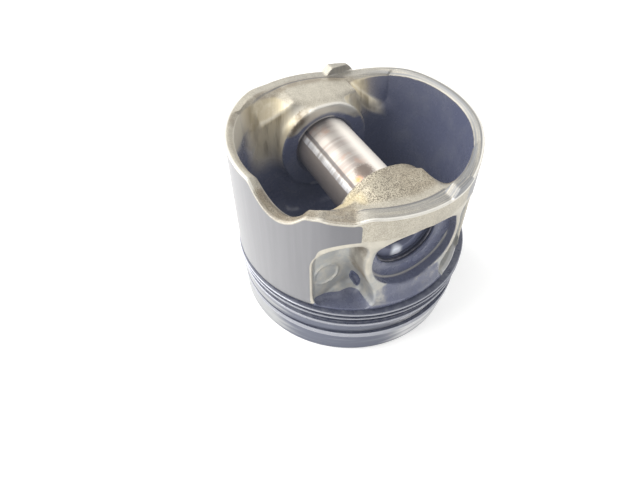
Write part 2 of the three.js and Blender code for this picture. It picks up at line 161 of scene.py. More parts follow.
def rim_height(x, y):
    """Height of the open end: lowest beside the lugs, highest at the thrust sides, notched for the oil jet."""
    plane = rim_plane(y)
    climb = RIM_LOW_Z - 0.9 + 0.26 * (y - 17)
    height = -soft_min(-plane, -climb, 1.5)
    height = soft_min(height, RIM_HIGH_Z, 0.6)
    azimuth = np.degrees(np.arctan2(y, x))
    notch = NOTCH_Z + NOTCH_CURVE * (azimuth - NOTCH_DEG) ** 2
    bump = 0.4 * np.exp(-(((azimuth - SHOULDER_BUMP_DEG) / 2.5) ** 2))
    ramp = 0.25 * np.maximum(azimuth - SHOULDER_END_DEG, 0)
    shoulder = np.where((azimuth > NOTCH_DEG) & (azimuth < -15), SHOULDER_Z + bump + ramp, 99)
    return soft_min(soft_min(height, notch, 1.2), shoulder, 0.9)


def outer_form(x, y, z, rho, rim):
    """Turned outside: crown, ring belt with its grooves, skirt and rim."""
    radius = LAND_R + (SKIRT_R - LAND_R) * smooth_step(SKIRT_START_Z - 0.2, SKIRT_START_Z + 0.6, z)
    form = meet(rho - radius, -z, 0.7)
    form = meet(form, z - rim, 0.5)
    for low, high, root in GROOVES:
        middle, half = (low + high) / 2, (high - low) / 2
        slot = np.maximum(root - rho, np.abs(z - middle) - half)
        form = cut(form, slot, 0.12)
    return form


def hollow_form(x, y, z, rho, rim):
    """The space under the crown: round at the thrust sides, flat walls and a sloped shelf at the bosses."""
    ax = np.abs(x)
    wall = np.interp(z, (20, 30, 52, 62, 67), (33.0, 33.6, 36.2, 36.9, 37.3))
    at_notch = np.exp(-(((np.degrees(np.arctan2(y, x)) - NOTCH_DEG) / 15) ** 2))
    wall = wall - 1.4 * at_notch * smooth_step(50, 56, z)
    wall = np.maximum(wall, SKIRT_R - 1.5 - 1.2 * at_notch - (rim - z))
    round_part = meet(rho - wall, HOLLOW_FLOOR_Z - z, 9.0)
    side = ax - HOLLOW_HALF_X - 0.02 * (z - 40)
    start, drop = np.where(x < 0, 14.6, 9.6), np.where(x < 0, 12.0, 15.0)
    level = rim_plane(y) - 0.25
    thrust_edge = level - drop * (1 - np.exp(-np.maximum(y - start, 0) / 7))
    other_edge = level - 0.6 * np.maximum(-y - 9, 0) - 1.9 * np.maximum(-y - 22, 0)
    edge = np.maximum(np.where(y > 0, thrust_edge, other_edge), 48)
    rim_x = np.sqrt(np.maximum(37.0 ** 2 - y * y, 24.0 ** 2))
    t = np.clip((ax - HOLLOW_HALF_X) / (rim_x - HOLLOW_HALF_X), 0, 1)
    shelf = edge + (level - edge) * t
    flat_part = join(side, (shelf - z) / 1.3, 0.8)
    return meet(round_part, flat_part, 5.0)


def boss_form(ax, y, z):
    """One boss inside the hollow: hub with a flattened top, and a web down to the crown."""
    hub = np.hypot(y, z - PIN_Z) - HUB_INNER_R
    section = meet(hub, z - rim_plane(y) + 0.2, 1.0)
    boss = meet(section, BOSS_INNER_X - ax, 0.8)
    half = 13.0 + 0.07 * (z - HOLLOW_FLOOR_Z)
    web = meet(np.maximum(np.abs(y) - half, z - PIN_Z), BOSS_INNER_X + 1.5 - ax, 2.5)
    return join(boss, web, 3.0)


def pocket_form(ax, y, z):
    """Relief cast into the skirt beside the pin, less the outer end of the boss that stands in it."""
    middle = (POCKET_TOP_Z + SKIRT_START_Z) / 2
    half = (POCKET_TOP_Z - SKIRT_START_Z) / 2
    corner = np.where(z > middle, 12.0, 2.5)
    outline = rounded_box(y, z - middle, POCKET_HALF_Y, half, corner)
    fillet = 1.6 + 3.4 * smooth_step(35, 28, z) * smooth_step(25, 19, np.abs(y))
    pocket = meet(outline, POCKET_X - ax, fillet)
    hub = np.hypot(y - RECESS_Y, z - RECESS_Z) - HUB_OUTER_R
    column = np.maximum(np.abs(y) - 12.5, z - RECESS_Z)
    stub = join(hub, column, 3.0)
    foot = BOSS_FACE_X + 0.35 * np.maximum(RECESS_Z - HUB_OUTER_R + 4 - z, 0)
    stub = meet(stub, ax - foot, 1.0)
    return meet(pocket, -stub, 4.5)


def bore_form(ax, y, z):
    """Gudgeon pin bore with its inner chamfer, circlip groove and mouth chamfer."""
    off_axis = np.hypot(y, z - PIN_Z)
    inner_chamfer = np.clip(BOSS_INNER_X + 1.2 - ax, 0, 1.2)
    mouth = np.where(ax < RECESS_FLOOR_X, np.clip(0.6 - (RECESS_FLOOR_X - ax), 0, 0.6), 0)
    bore = off_axis - (BORE_R + inner_chamfer + mouth)
    groove = np.maximum(off_axis - CLIP_GROOVE_R, np.abs(ax - CLIP_X) - CLIP_GROOVE_HALF)
    return np.minimum(bore, groove)


def capsule(x, y, z, start, end, radius, swell):
    """Distance to a rod between two points, thicker in its middle by swell."""
    start, end = np.array(start), np.array(end)
    along = end - start
    t = ((x - start[0]) * along[0] + (y - start[1]) * along[1] + (z - start[2]) * along[2]) / (along @ along)
    t = np.clip(t, 0, 1)
    dx, dy, dz = (c - start[i] - along[i] * t for i, c in enumerate((x, y, z)))
    return np.sqrt(dx * dx + dy * dy + dz * dz) - (radius + swell * 4 * t * (1 - t))


def bowl_form(rho, z):
    """Combustion bowl in the crown with a raised centre."""
    mouth = 20.6 + 1.3 * smooth_step(0.5, 5.0, z)
    depth = 4.6 + 4.2 * smooth_step(0, 14, rho)
    return meet(rho - mouth, z - depth, 3.5)


def lug_form(ax, y, z):
    lean = (np.abs(y - LUG_Y) - 5.4 + 0.95 * (z - RIM_LOW_Z)) / 1.38
    lug = meet(lean, z - (RIM_LOW_Z + 2.4), 0.5)
    return np.maximum(meet(lug, 34.6 - ax, 0.4), 59 - z)


def drain_form(ax, y, z, rho):
    """Oil drain holes from the oil ring's groove into the hollow."""
    low, high, root = GROOVES[2]
    holes = np.full_like(z, 9.0)
    for degrees in (60, 80):
        c, s = math.cos(math.radians(degrees)), math.sin(math.radians(degrees))
        across = np.hypot(ax * s - np.abs(y) * c, z - (low + high) / 2)
        holes = np.minimum(holes, np.maximum(across - 1.1, np.abs(rho - root) - 4))
    return holes


def body_distance(x, y, z):
    rho = np.hypot(x, y)
    ax = np.abs(x)
    rim = rim_height(x, y)
    outside = outer_form(x, y, z, rho, rim)
    solid = join(-hollow_form(x, y, z, rho, rim), boss_form(ax, y, z), 4.0)
    body = meet(outside, solid, 0.35)
    body = cut(body, pocket_form(ax, y, z), 0.25 + 1.25 * smooth_step(25, 29, z))
    recess = np.maximum(np.hypot(y - RECESS_Y, z - RECESS_Z) - RECESS_R, RECESS_FLOOR_X - ax)
    body = cut(body, meet(recess, z - BAND_EDGE_Z, 4.0), 0.5)
    body = np.maximum(join(body, lug_form(ax, y, z), 0.5), rho - SKIRT_R)
    body = np.maximum(body, -bore_form(ax, y, z))
    body = cut(body, bowl_form(rho, z), 0.5)
    body = np.maximum(body, -drain_form(ax, y, z, rho))
    pit = capsule(ax, y, z, *PIT)
    body = cut(body, pit, 0.3)
    mark = np.hypot(y + 23.6, z - 35.5) - 4.2
    return join(body, np.hypot(mark, x - POCKET_X + 0.1) - 0.35, 0.5)


# ---------------------------------------------------------------- dual contouring on a cylindrical grid

def spaced(*stretches):
    """Grid lines from (start, end, step) stretches that follow one another."""
    lines = [np.arange(start, end - step / 2, step) for start, end, step in stretches]
    return np.append(np.concatenate(lines), stretches[-1][1])


def crossing(distance, p0, p1, f0, f1, rounds=3):
    """Points on the segments p0-p1 where the distance is zero, by false position."""
    for _ in range(rounds):
        t = (f0 / (f0 - f1))[:, None]
        p = p0 + (p1 - p0) * t
        f = distance(*p.T)
        same = (f < 0) == (f0 < 0)
        p0, f0 = np.where(same[:, None], p, p0), np.where(same, f, f0)
        p1, f1 = np.where(same[:, None], p1, p), np.where(same, f1, f)
    t = np.clip(f0 / (f0 - f1), 0, 1)[:, None]
    return p0 + (p1 - p0) * t


def gradient(distance, p, step=0.01):
    parts = []
    for axis in range(3):
        move = np.zeros(3)
        move[axis] = step
        parts.append(distance(*(p + move).T) - distance(*(p - move).T))
    g = np.stack(parts, axis=1)
    return g / np.maximum(np.linalg.norm(g, axis=1, keepdims=True), 1e-12)


def contour(distance, angles, radii, heights):
    """Vertices and quads of the zero surface. angles cover a full turn; the axis is closed by fans."""
    shape = (len(angles), len(radii), len(heights))
    c, s = np.cos(angles), np.sin(angles)
    field = np.empty(shape, np.float32)
    rr, zz = np.meshgrid(radii, heights, indexing="ij")
    for i in range(shape[0]):
        field[i] = distance((rr * c[i]).ravel(), (rr * s[i]).ravel(), zz.ravel()).reshape(rr.shape)
    point = lambda i, j, k: np.stack([radii[j] * c[i], radii[j] * s[i], heights[k]], axis=1)
    inside = field < 0

    cells, edges = [], []
    for axis in range(3):
        step = [0, 0, 0]
        step[axis] = 1
        other = np.roll(inside, -1, axis=axis)
        change = inside != other
        if axis == 1:
            change[:, -1] = False
        if axis == 2:
            change[:, :, -1] = False
        i, j, k = np.nonzero(change)
        i1, j1, k1 = (i + step[0]) % shape[0], j + step[1], k + step[2]
        p = crossing(distance, point(i, j, k), point(i1, j1, k1),
                     field[i, j, k].astype(float), field[i1, j1, k1].astype(float))
        n = gradient(distance, p)
        b, d = [a for a in range(3) if a != axis]
        ring = []
        for ob, od in ((-1, -1), (0, -1), (0, 0), (-1, 0)):
            cell = np.stack([i, j, k])
            cell[b] += ob
            cell[d] += od
            cell[0] %= shape[0]
            ring.append(cell)
        edges.append((axis, ring, inside[i, j, k], p, n))

    flat = lambda cell: (cell[0] * shape[1] + cell[1]) * shape[2] + cell[2]
    ids, points, normals = [], [], []
    for axis, ring, sign, p, n in edges:
        for cell in ring:
            good = cell[1] >= 0
            ids.append(flat(cell)[good])
            points.append(p[good])
            normals.append(n[good])
    ids, points, normals = np.concatenate(ids), np.concatenate(points), np.concatenate(normals)
    used, slot = np.unique(ids, return_inverse=True)
    count = np.bincount(slot).astype(float)
    total = lambda w: np.bincount(slot, weights=w)
    mass = np.stack([total(points[:, a]) / count for a in range(3)], axis=1)
    rel = points - mass[slot]
    dot = (normals * rel).sum(axis=1)
    ata = np.empty((len(used), 3, 3))
    for a in range(3):
        for b in range(a, 3):
            ata[:, a, b] = ata[:, b, a] = total(normals[:, a] * normals[:, b])
    atb = np.stack([total(normals[:, a] * dot) for a in range(3)], axis=1)
    ata += np.eye(3) * 0.02 * count[:, None, None]
    move = np.linalg.solve(ata, atb[:, :, None])[:, :, 0]
    reach = np.sqrt(total((rel ** 2).sum(axis=1)) / count) * 2.0 + 0.02
    size = np.linalg.norm(move, axis=1)
    move *= np.minimum(1, reach / np.maximum(size, 1e-9))[:, None]
    verts = mass + move

    lookup = np.full(shape[0] * shape[1] * shape[2], -1, np.int64)
    lookup[used] = np.arange(len(used))
    quads, fans = [], {}
    for axis, ring, sign, p, n in edges:
        good = np.ones(len(sign), bool)
        for cell in ring:
            good &= cell[1] >= 0
        corners = np.stack([lookup[flat(np.maximum(cell, 0))] for cell in ring], axis=1)[good]
        turn = ~sign[good] if axis == 1 else sign[good]
        corners[turn] = corners[turn][:, ::-1]
        quads.append(corners)
        if axis == 2:
            edge_cells = ring[2][:, ~good]
            for height in np.unique(edge_cells[2]):
                here = edge_cells[2] == height
                loop = lookup[flat(edge_cells[:, here])]
                fans[int(height)] = (loop, bool(sign[~good][here][0]))
    faces = [np.concatenate(quads)]
    for loop, up in fans.values():
        centre = len(verts)
        verts = np.vstack([verts, verts[loop].mean(axis=0)])
        after = np.roll(loop, -1)
        first, second = (loop, after) if up else (after, loop)
        faces.append(np.stack([first, second, np.full(len(loop), centre)], axis=1))
    return verts, faces


BODY_ANGLES = np.radians(0.31 + np.arange(480) * 0.75)
BODY_RADII = spaced((0.9, 14, 1.0), (14, 33, 0.55), (33, 41, 0.4))
BODY_HEIGHTS = spaced((-0.63, 24.7, 0.31), (24.7, 56, 0.6), (56, 67.5, 0.45))


# ---------------------------------------------------------------- meshes

def make_piece(name, verts, faces, material, body, nodes, smooth_angle=32):
    """Adds a piece from vertices in millimetres and a list of face arrays, riding on its body."""
    mesh = bpy.data.meshes.new(name)
    verts = np.asarray(verts, np.float32) * MM
    sizes = np.concatenate([np.full(len(group), group.shape[1]) for group in faces])
    corners = np.concatenate([group.ravel() for group in faces]).astype(np.int32)
    mesh.vertices.add(len(verts))
    mesh.vertices.foreach_set("co", verts.ravel())
    mesh.loops.add(len(corners))
    mesh.loops.foreach_set("vertex_index", corners)
    mesh.polygons.add(len(sizes))
    mesh.polygons.foreach_set("loop_start", (np.cumsum(sizes) - sizes).astype(np.int32))
    mesh.update(calc_edges=True)
    mesh.polygons.foreach_set("use_smooth", np.ones(len(sizes), bool))
    mesh.set_sharp_from_angle(angle=math.radians(smooth_angle))
    mesh.materials.append(material)
    piece = bpy.data.objects.new(name, mesh)
    bpy.context.scene.collection.objects.link(piece)
    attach(piece, body)
    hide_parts(*nodes)
    return piece


def add_mask(piece, name, values):
    """Stores one number per vertex for the materials to read."""
    attribute = piece.data.attributes.new(name, "FLOAT", "POINT")
    attribute.data.foreach_set("value", np.asarray(values, np.float32))


def grid_faces(rows, columns, close_rows, close_columns):
    """Quads of a grid of vertices numbered row by row, closed round either way where asked."""
    i = np.arange(rows if close_rows else rows - 1)
    j = np.arange(columns if close_columns else columns - 1)
    i, j = [a.ravel() for a in np.meshgrid(i, j, indexing="ij")]
    i1, j1 = (i + 1) % rows, (j + 1) % columns
    corners = (i * columns + j, i1 * columns + j, i1 * columns + j1, i * columns + j1)
    return np.stack(corners, axis=1)


def rounded_outline(points, radius, steps=4):
    """Closed outline with every corner rounded off."""
    points = np.array(points, float)
    outline = []
    for before, corner, after in zip(np.roll(points, 1, 0), points, np.roll(points, -1, 0)):
        a, b = before - corner, after - corner
        reach = min(radius, np.linalg.norm(a) / 2.01, np.linalg.norm(b) / 2.01)
        a, b = corner + a / np.linalg.norm(a) * reach, corner + b / np.linalg.norm(b) * reach
        for t in np.linspace(0, 1, steps):
            outline.append((1 - t) ** 2 * a + 2 * t * (1 - t) * corner + t * t * b)
    return np.array(outline)


def sweep_section(section, angles, closed):
    """Turns an outline of (radius, z) about Z through the angles. Open sweeps get flat ends."""
    r, z = section[:, 0], section[:, 1]
    c, s = np.cos(angles)[:, None], np.sin(angles)[:, None]
    verts = np.stack([c * r, s * r, np.broadcast_to(z, (len(angles), len(r)))], axis=2)
    verts = verts.reshape(-1, 3)
    count = len(section)
    faces = [grid_faces(len(angles), count, closed, True)]
    if not closed:
        first, last = np.arange(count), np.arange(count) + (len(angles) - 1) * count
        faces += [first[None, ::1], last[None, ::-1]]
    return verts, faces


def tube(path, radius, sides=8):
    """Round wire along a path of points, with rounded ends."""
    path = np.asarray(path, float)
    along = np.gradient(path, axis=0)
    along /= np.linalg.norm(along, axis=1, keepdims=True)
    first, last = along[0], along[-1]
    nose = np.array([0.98, 0.8, 0.45])
    head = path[0] - np.outer(nose * radius, first)
    tail = path[-1] + np.outer(nose[::-1] * radius, last)
    path = np.concatenate([head, path, tail])
    along = np.concatenate([np.tile(first, (3, 1)), along, np.tile(last, (3, 1))])
    slim = np.sqrt(1 - nose ** 2)
    width = radius * np.concatenate([slim, np.ones(len(path) - 6), slim[::-1]])
    across = np.empty_like(path)
    side = np.cross(along[0], (0.3, 0.5, 0.81))
    for i, direction in enumerate(along):
        side = side - direction * (side @ direction)
        side /= np.linalg.norm(side)
        across[i] = side
    up = np.cross(along, across)
    turn = np.arange(sides) / sides * 2 * math.pi
    ring = np.cos(turn)[None, :, None] * across[:, None] + np.sin(turn)[None, :, None] * up[:, None]
    verts = (path[:, None] + ring * width[:, None, None]).reshape(-1, 3)
    ends = np.arange(sides)
    faces = [grid_faces(len(path), sides, False, True), ends[None, :]]
    faces.append((ends + (len(path) - 1) * sides)[None, ::-1])
    return verts, faces


def outward(verts, faces):
    """The same faces, turned over if they enclose a negative volume."""
    volume = 0.0
    for group in faces:
        for k in range(1, group.shape[1] - 1):
            a, b, c = (verts[group[:, n]] for n in (0, k, k + 1))
            volume += np.einsum("ij,ij->", a, np.cross(b, c))
    return faces if volume > 0 else [group[:, ::-1] for group in faces]


# ---------------------------------------------------------------- shader helper

class Paint:
    """A material's nodes, written as expressions. Coordinates are in millimetres."""

    def __init__(self, name):
        self.material = bpy.data.materials.new(name)
        self.material.use_nodes = True
        self.tree = self.material.node_tree
        self.tree.nodes.clear()
        place = self.add("TexCoord").outputs["Object"]
        self.place = self.vector("SCALE", place, Scale=1 / MM)
        split = self.add("SeparateXYZ", Vector=self.place)
        self.x, self.y, self.z = (split.outputs[axis] for axis in "XYZ")

    def add(self, kind, settings=None, **inputs):
        node = self.tree.nodes.new("ShaderNode" + kind)
        for key, value in (settings or {}).items():
            setattr(node, key, value)
        for key, value in inputs.items():
            self.feed(node.inputs[key.replace("_", " ")], value)
        return node

    def feed(self, socket, value):
        if isinstance(value, bpy.types.NodeSocket):
            self.tree.links.new(value, socket)
        elif socket.type == "RGBA" and len(value) == 3:
            socket.default_value = (*value, 1)
        else:
            socket.default_value = value

    def math(self, operation, *values):
        node = self.add("Math", {"operation": operation})
        for socket, value in zip(node.inputs, values):
            self.feed(socket, value)
        return node.outputs[0]

    def vector(self, operation, a, b=None, **inputs):
        node = self.add("VectorMath", {"operation": operation}, **inputs)
        self.feed(node.inputs[0], a)
        if b is not None:
            self.feed(node.inputs[1], b)
        return node.outputs["Value" if operation == "LENGTH" else "Vector"]

    def step(self, value, low, high, low_out=0.0, high_out=1.0):
        """Smooth step from low_out to high_out as value goes from low to high."""
        node = self.add("MapRange", {"interpolation_type": "SMOOTHSTEP"}, Value=value)
        for key, number in zip(("From Min", "From Max", "To Min", "To Max"), (low, high, low_out, high_out)):
            node.inputs[key].default_value = number
        return node.outputs["Result"]

    def noise(self, scale, detail=3.0, roughness=0.55, at=None, stretch=None, distortion=0.0):
        place = at or self.place
        if stretch:
            place = self.vector("MULTIPLY", place, stretch)
        node = self.add("TexNoise", Vector=place, Scale=scale, Detail=detail, Roughness=roughness)
        node.inputs["Distortion"].default_value = distortion
        return node.outputs["Fac"]

    def mix(self, factor, a, b):
        """Blend of two colours."""
        node = self.add("Mix", {"data_type": "RGBA"})
        for index, value in ((0, factor), (6, a), (7, b)):
            self.feed(node.inputs[index], value)
        return node.outputs[2]

    def blend(self, factor, a, b):
        """Blend of two numbers."""
        node = self.add("Mix", {"data_type": "FLOAT"})
        for index, value in ((0, factor), (2, a), (3, b)):
            self.feed(node.inputs[index], value)
        return node.outputs[0]

    def mask(self, name):
        return self.add("Attribute", {"attribute_name": name}).outputs["Fac"]

    def edges(self, low, high):
        """High along convex edges."""
        return self.step(self.add("NewGeometry").outputs["Pointiness"], low, high)

    def bump(self, height, distance, strength=1.0, onto=None):
        node = self.add("Bump", Height=height, Distance=distance * MM, Strength=strength)
        if onto is not None:
            self.feed(node.inputs["Normal"], onto)
        return node.outputs["Normal"]

    def finish(self, **inputs):
        surface = self.add("BsdfPrincipled", **inputs)
        output = self.add("OutputMaterial")
        self.tree.links.new(surface.outputs[0], output.inputs["Surface"])
        return self.material


def tone(red, green, blue):
    """A colour given in 0-255 display values, as linear light."""
    return tuple(((c / 255 + 0.055) / 1.055) ** 2.4 if c > 10 else c / 255 / 12.92 for c in (red, green, blue))


CAST = tone(186, 181, 168)
CAST_DARK = tone(92, 84, 70)
# Stain, also used for painted shade on the bosses.
STAIN_AND_SHADE = tone(120, 108, 88)
# Worn rim edge, and painted highlights along edges.
WORN_EDGE_AND_HIGHLIGHT = tone(226, 224, 218)
COATING = tone(116, 116, 119)
# Oil, also painted into the pit beside the rib as shade.
OIL = tone(86, 90, 111)
# Centre of a painted highlight on one end of the pin.
PIN_END_HIGHLIGHT = (PIN_HALF, -0.9, PIN_Z - 8.8)
PIN_WEAR = ((10.5, -2.0, 3.9, 0.8, tone(100, 84, 72)), (12.4, -5.2, 1.7, 1.0, tone(214, 136, 70)))


# ---------------------------------------------------------------- materials

def body_material():
    """Cast aluminium: bare, speckled, stained or filmed with oil, and the grey coating on the skirt, with painted light
    on the far boss and the right-hand lands, painted shade on the coating, the lands, the near boss and in the pit, and
    painted highlights along some edges.
    """
    p = Paint("cast_aluminium_body")
    rho = p.math("SQRT", p.math("ADD", p.math("MULTIPLY", p.x, p.x), p.math("MULTIPLY", p.y, p.y)))
    broad = p.noise(0.09, 4, 0.6)
    blotch = p.noise(0.35, 5, 0.65)
    grain = p.noise(3.0, 2, 0.6)
    across = p.math("ADD", p.math("MULTIPLY", p.math("ABSOLUTE", p.x), -0.47), p.math("MULTIPLY", p.y, 0.88))
    down = p.math("MULTIPLY", p.z, 0.16)
    drips = p.noise(0.5, 3, 0.5, at=p.add("CombineXYZ", X=across, Y=down).outputs[0])
    turned = p.noise(1.0, 3, 0.6, at=p.add("CombineXYZ", X=p.math("MULTIPLY", rho, 2.2), Y=p.math("MULTIPLY", p.y, 0.06)).outputs[0])

    colour = p.mix(p.step(blotch, 0.35, 0.7), CAST, tone(172, 167, 155))
    fleck = p.step(p.math("ADD", p.noise(2.6, 3, 0.75), p.math("MULTIPLY", broad, 0.3)), 0.6, 0.7)
    speck = p.math("MULTIPLY", fleck, p.mask("rough"))
    colour = p.mix(p.math("MULTIPLY", p.mask("rough"), 0.5), colour, tone(180, 169, 142))
    colour = p.mix(p.math("MULTIPLY", speck, 0.9), colour, CAST_DARK)
    rough = p.blend(p.mask("rough"), 0.42, 0.5)
    metal = p.blend(p.mask("rough"), 0.5, 0.4)

    pocket = p.step(p.mask("pocket_gap"), 0.35, 0.05)
    film = p.math("MAXIMUM", p.mask("film"), pocket)
    film = p.math("MULTIPLY", film, p.step(p.blend(pocket, turned, blotch), 0.3, 0.65, 0.3, 1.0))
    colour = p.mix(film, colour, p.mix(pocket, tone(112, 114, 117), tone(156, 158, 157)))
    # Stain colour over real stains, and painted shade on the near boss's right half and end and beside the far boss's
    # arc.
    stain_and_shade = p.math("MULTIPLY", p.mask("stain_and_shade"), p.step(blotch, 0.3, 0.6, 0.4, 1.0))
    colour = p.mix(stain_and_shade, colour, STAIN_AND_SHADE)

    # Painted shade: the lands facing the camera side are darkened, on top of banded grime.
    camera_side_shade = p.math("ADD", p.math("MULTIPLY", p.x, 0.82), p.math("MULTIPLY", p.y, -0.57))
    camera_side_shade = p.step(p.math("DIVIDE", camera_side_shade, rho), 0.78, 0.99, 0.0, 0.5)
    rings = p.noise(1.0, 2, 0.5, stretch=(0.05, 0.05, 0.7))
    grime_and_shade = p.math("MULTIPLY", p.mask("lands"), p.step(p.math("ADD", rings, camera_side_shade), 0.35, 1.0))
    # Painted light: the lands towards the right get a lighter copy of their colour than those on the left.
    lands_lit_side = p.math("MULTIPLY", p.step(p.y, -14, 2), p.step(p.x, 15, 30))
    land_lit_and_shaded = p.mix(lands_lit_side, tone(158, 159, 160), tone(210, 210, 211))
    colour = p.mix(p.mask("lands"), colour, land_lit_and_shaded)
    colour = p.mix(grime_and_shade, colour, tone(96, 100, 114))
    metal = p.blend(p.mask("lands"), metal, 0.6)

    rim_gap = p.mask("rim_gap")
    lip = p.math("MULTIPLY", p.step(rho, SKIRT_R - 0.85, SKIRT_R - 0.65), p.step(rim_gap, 0.6, 0.4))
    lip = p.math("MULTIPLY", lip, p.step(rim_gap, -0.5, -0.2, 0.0, 0.85))
    lip = p.math("MULTIPLY", lip, p.step(p.mask("rough"), 0.2, 0.9, 0.8, 0.2))
    colour = p.mix(lip, colour, WORN_EDGE_AND_HIGHLIGHT)
    # Painted highlight: near-white lines along the far boss's inner edge, the bore's mouth and the recess floor's edge.
    edge_highlight = p.step(p.mask("arc_gap"), 1.7, 0.3, 0.0, 0.6)
    colour = p.mix(edge_highlight, colour, WORN_EDGE_AND_HIGHLIGHT)
    seam = p.step(p.math("ABSOLUTE", p.math("SUBTRACT", rho, SEAM_R)), 0.4, 0.15)
    seam = p.math("MULTIPLY", p.math("MULTIPLY", seam, p.mask("crest")), 0.7)
    colour = p.mix(seam, colour, tone(84, 85, 90))

    streaks = p.noise(1.0, 3, 0.6, stretch=(0.45, 0.45, 0.02))
    coat_colour = p.mix(p.step(streaks, 0.3, 0.75), COATING, tone(122, 122, 125))
    # Painted shade: the coating is darkened towards the band on the camera side.
    coat_shade = p.math("MULTIPLY", p.step(p.y, -31, -22, 0.0, 0.6), p.step(p.x, 10, 20))
    coat_colour = p.mix(coat_shade, coat_colour, tone(88, 88, 92))
    coat = p.math("MULTIPLY", p.step(rho, SKIRT_R - 0.14, SKIRT_R - 0.06), p.step(p.mask("coat_gap"), 0.1, -0.1))
    colour = p.mix(coat, colour, coat_colour)
    rough = p.blend(coat, rough, 0.36)
    metal = p.blend(coat, metal, 0.0)

    # The oil mask also holds painted shade in the pit beside the rib; the ring grooves are darkened as well.
    oil = p.math("ADD", p.mask("oil"), p.math("MULTIPLY", p.math("SUBTRACT", blotch, 0.5), 0.6))
    oil = p.math("MAXIMUM", p.step(oil, 0.3, 0.75), p.step(p.mask("recess_gap"), 0.35, -0.05))
    oil_and_shade_colour = p.mix(p.step(broad, 0.4, 0.75), OIL, tone(100, 103, 118))
    oil_and_shade_colour = p.mix(p.step(p.y, 4, 26, 0.0, 0.4), oil_and_shade_colour, tone(58, 62, 80))
    oil = p.math("MULTIPLY", oil, p.math("SUBTRACT", 1.0, edge_highlight))
    colour = p.mix(oil, colour, oil_and_shade_colour)
    # Painted light: a near-white colour on the far boss's ridge, wall and face and on the left inner wall, where the
    # lighting leaves them too dark.
    colour = p.mix(p.mask("painted_light"), colour, tone(236, 232, 220))
    colour = p.mix(p.math("MULTIPLY", p.mask("gold"), 0.6), colour, tone(222, 206, 164))
    streak = p.math("MULTIPLY", p.mask("gold"), p.step(drips, 0.42, 0.68))
    colour = p.mix(p.math("MULTIPLY", streak, 0.7), colour, tone(132, 117, 82))
    rough = p.blend(oil, rough, p.step(blotch, 0.3, 0.7, 0.18, 0.34))
    metal = p.blend(oil, metal, 0.0)

    relief = p.math("MULTIPLY", grain, p.blend(p.mask("rough"), 0.15, 1.0))
    relief = p.math("SUBTRACT", relief, p.math("MULTIPLY", seam, 1.5))
    normal = p.bump(relief, 0.12, 0.6)
    return p.finish(Base_Color=colour, Roughness=rough, Metallic=metal, Normal=normal)


def pin_material():
    """Polished steel with heat bands round it, painted reflections along it (a shaded side, a bright strip, a dark line
    and a lit side), a painted highlight on one end, and oily ends.
    """
    p = Paint("pin_steel_polished")
    bands = p.noise(0.5, 4, 0.6, stretch=(1, 0.02, 0.02))
    tint = p.noise(0.22, 3, 0.6)
    wander = p.noise(0.12, 3, 0.6, stretch=(1, 0.4, 0.4))
    turn = p.math("ARCTAN2", p.y, p.math("SUBTRACT", p.z, PIN_Z))
    turn = p.math("ADD", p.math("DEGREES", turn), p.math("MULTIPLY", p.math("SUBTRACT", wander, 0.5), 4.0))
    colour = p.mix(p.step(bands, 0.4, 0.62), tone(166, 160, 153), tone(148, 140, 134))
    colour = p.mix(p.step(tint, 0.5, 0.75), colour, tone(160, 140, 128))
    # Painted reflections round the pin, fixed to it: a shaded side, a bright strip, a dark line and a lit side.
    shade = p.math("MULTIPLY", p.step(turn, -56.0, -60.0), p.step(turn, -150.0, -100.0))
    colour = p.mix(shade, colour, tone(150, 141, 134))
    strip = p.math("MULTIPLY", p.step(turn, -60.0, -57.5), p.step(turn, -46.5, -49.0))
    colour = p.mix(p.math("MULTIPLY", strip, p.step(bands, 0.35, 0.65, 0.95, 0.35)), colour, tone(236, 236, 238))
    dark_reflection_line = p.math("MULTIPLY", p.step(turn, -47.5, -45.0), p.step(turn, -38.5, -41.0))
    colour = p.mix(p.math("MULTIPLY", dark_reflection_line, 0.75), colour, tone(74, 70, 70))
    lit_side = p.step(turn, -8.0, 18.0)
    colour = p.mix(lit_side, colour, tone(228, 222, 213))
    along = p.math("MULTIPLY", turn, PIN_R * math.pi / 180)
    for x, wrap, reach, strength, worn in PIN_WEAR:
        gap = p.math("SQRT", p.math("ADD", p.math("POWER", p.math("SUBTRACT", p.x, x), 2.0),
                                    p.math("POWER", p.math("SUBTRACT", along, wrap), 2.0)))
        gap = p.math("ADD", gap, p.math("MULTIPLY", p.noise(2.2, 4, 0.75), 4.0))
        colour = p.mix(p.step(gap, reach + 2.2, reach, 0.0, strength), colour, worn)
    end = p.step(p.math("ABSOLUTE", p.x), BOSS_INNER_X + 6, BOSS_INNER_X + 7)
    colour = p.mix(end, colour, OIL)
    # Painted highlight on the pin's end.
    end_highlight = p.vector("MULTIPLY", p.vector("SUBTRACT", p.place, PIN_END_HIGHLIGHT), (0.5, 0.42, 0.26))
    colour = p.mix(p.step(p.vector("LENGTH", end_highlight), 1.2, 0.4), colour, tone(222, 226, 234))
    return p.finish(Base_Color=colour, Roughness=p.blend(end, p.step(tint, 0.3, 0.7, 0.34, 0.42), 0.4),
                    Metallic=p.blend(end, p.blend(lit_side, 0.6, 0.0), 0.2))


def ring_material():
    """Dark oily iron with bright running edges."""
    p = Paint("ring_iron_oily")
    blotch = p.noise(0.5, 4, 0.6)
    colour = p.mix(p.step(blotch, 0.45, 0.7), tone(62, 65, 80), tone(84, 87, 98))
    tip = p.step(p.mask("tip"), 0.5, 0.9)
    colour = p.mix(tip, colour, tone(150, 152, 160))
    return p.finish(Base_Color=colour, Roughness=p.step(blotch, 0.3, 0.7, 0.25, 0.4),
                    Metallic=p.blend(tip, 0.1, 0.8))


def spring_material():
    p = Paint("spring_steel_oily")
    blotch = p.noise(0.8, 3, 0.6)
    colour = p.mix(p.step(blotch, 0.4, 0.7), tone(66, 66, 74), tone(104, 102, 104))
    return p.finish(Base_Color=colour, Roughness=0.3, Metallic=0.9)


# ---------------------------------------------------------------- piston body

